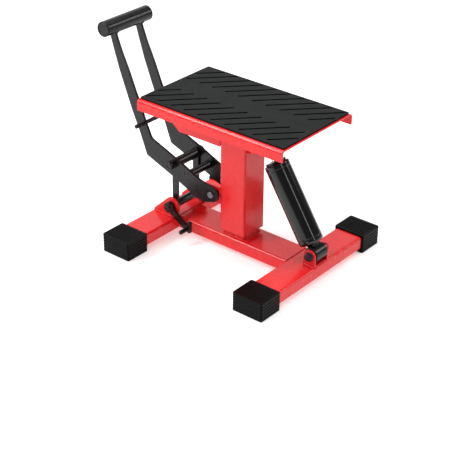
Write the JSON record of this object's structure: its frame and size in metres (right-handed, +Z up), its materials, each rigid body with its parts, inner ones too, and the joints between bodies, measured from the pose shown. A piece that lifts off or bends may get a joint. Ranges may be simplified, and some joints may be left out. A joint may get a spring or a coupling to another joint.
{
  "type": "motorcycle lift stand",
  "caption": "Steel lift stand for an off-road motorcycle: ribbed-foot H base, telescoping column with a padded flanged platform, hand lever on swinging links, foot pedal and a damper.",
  "frame": {"origin": "on the floor, at the centre of the whole stand's box at rest, with the platform lowered", "axes": "+Z up; +X from the lever end to the damper end; -Y is the side with the foot pedal"},
  "size_m": [0.5702, 0.418, 0.4606],
  "materials": {
    "red_paint": "gloss powder coat",
    "black_paint": "satin powder coat",
    "damper_gloss": "gloss paint",
    "mat_rubber": "moulded, grooved",
    "foot_rubber": "moulded, ribbed",
    "cap_plastic": "fine texture",
    "glide_plastic": "natural nylon",
    "rod_chrome": "hard chrome",
    "black_fastener": "black zinc",
    "grey_fastener": "plain turned steel",
    "piston_steel": "machined"
  },
  "bodies": {
    "base": {"centre_beam": "red_paint", "rear_crossbar": "red_paint", "front_crossbar": "red_paint", "foot_cap_rear_near": "foot_rubber", "foot_cap_rear_far": "foot_rubber", "foot_cap_front_near": "foot_rubber", "foot_cap_front_far": "foot_rubber", "inner_column": "red_paint", "upper_glide": "glide_plastic", "rear_ear_near": "red_paint", "rear_ear_far": "red_paint", "damper_lower_clevis": "red_paint", "damper_lower_bolt": "black_fastener", "damper_lower_nut": "black_fastener"},
    "lift": {"outer_column": "red_paint", "lower_glide": "glide_plastic", "platform_tray": "red_paint", "rubber_mat": "mat_rubber", "under_gusset_near": "red_paint", "under_gusset_far": "red_paint", "column_ear_near": "red_paint", "column_ear_far": "red_paint", "damper_upper_bracket": "red_paint", "damper_upper_bolt": "black_fastener", "damper_upper_nut": "black_fastener"},
    "links": {"link_bar_near": "black_paint", "link_bar_far": "black_paint", "axle_spacer_near": "black_paint", "axle_spacer_far": "black_paint", "axle_sleeve": "black_paint", "fulcrum_tube": "black_paint"},
    "lever": {"lever_bar_near": "black_paint", "lever_bar_far": "black_paint", "handle_tube": "black_paint", "handle_end_cap_near": "cap_plastic", "handle_end_cap_far": "cap_plastic", "cross_rod": "black_paint", "lever_spacer": "black_paint", "fulcrum_axle": "black_paint", "fulcrum_nut": "black_fastener", "pivot_bolt": "grey_fastener", "pivot_nut": "grey_fastener"},
    "pedal": {"pedal_shaft": "black_fastener", "pedal_arm": "black_paint", "pedal_peg": "black_paint", "pedal_nut": "black_fastener"},
    "damper_cylinder": {"damper_body": "damper_gloss", "damper_gland": "damper_gloss", "damper_lower_eye": "black_paint", "lower_eye_bush": "foot_rubber"},
    "damper_plunger": {"damper_rod": "rod_chrome", "damper_piston": "piston_steel", "damper_upper_eye": "black_paint"}
  },
  "joints": [
    {"name": "platform_lift", "type": "slide", "parent": "base", "child": "lift", "axis": [0, 0, 1], "range_m": [0, 0.1132]},
    {"name": "link_swing", "type": "hinge", "parent": "base", "child": "links", "pos_m": [-0.09635, 0, 0.066], "axis": [0, 1, 0], "range_deg": [0, 5.2]},
    {"name": "lever_swing", "type": "hinge", "parent": "links", "child": "lever", "pos_m": [-0.09635, 0, 0.167], "axis": [0, -1, 0], "range_deg": [0, 64.1]},
    {"name": "pedal_press", "type": "hinge", "parent": "base", "child": "pedal", "pos_m": [-0.09635, 0, 0.066], "axis": [0, -1, 0], "range_deg": [0, 38]},
    {"name": "damper_tilt", "type": "hinge", "parent": "base", "child": "damper_cylinder", "pos_m": [0.26515, 0, 0.063], "axis": [0, 1, 0], "range_deg": [0, 10.7]},
    {"name": "damper_stroke", "type": "slide", "parent": "damper_cylinder", "child": "damper_plunger", "axis": [-0.5412, 0, 0.8409], "range_m": [0, 0.1001]}
  ],
  "couplings": [
    {"joint": "lever_swing", "follows": "platform_lift", "rad_per_m": 9.8717},
    {"joint": "link_swing", "follows": "platform_lift", "rad_per_m": 0.78973},
    {"joint": "damper_tilt", "follows": "platform_lift", "rad_per_m": 1.64},
    {"joint": "damper_stroke", "follows": "platform_lift", "ratio": 0.883}
  ]
}
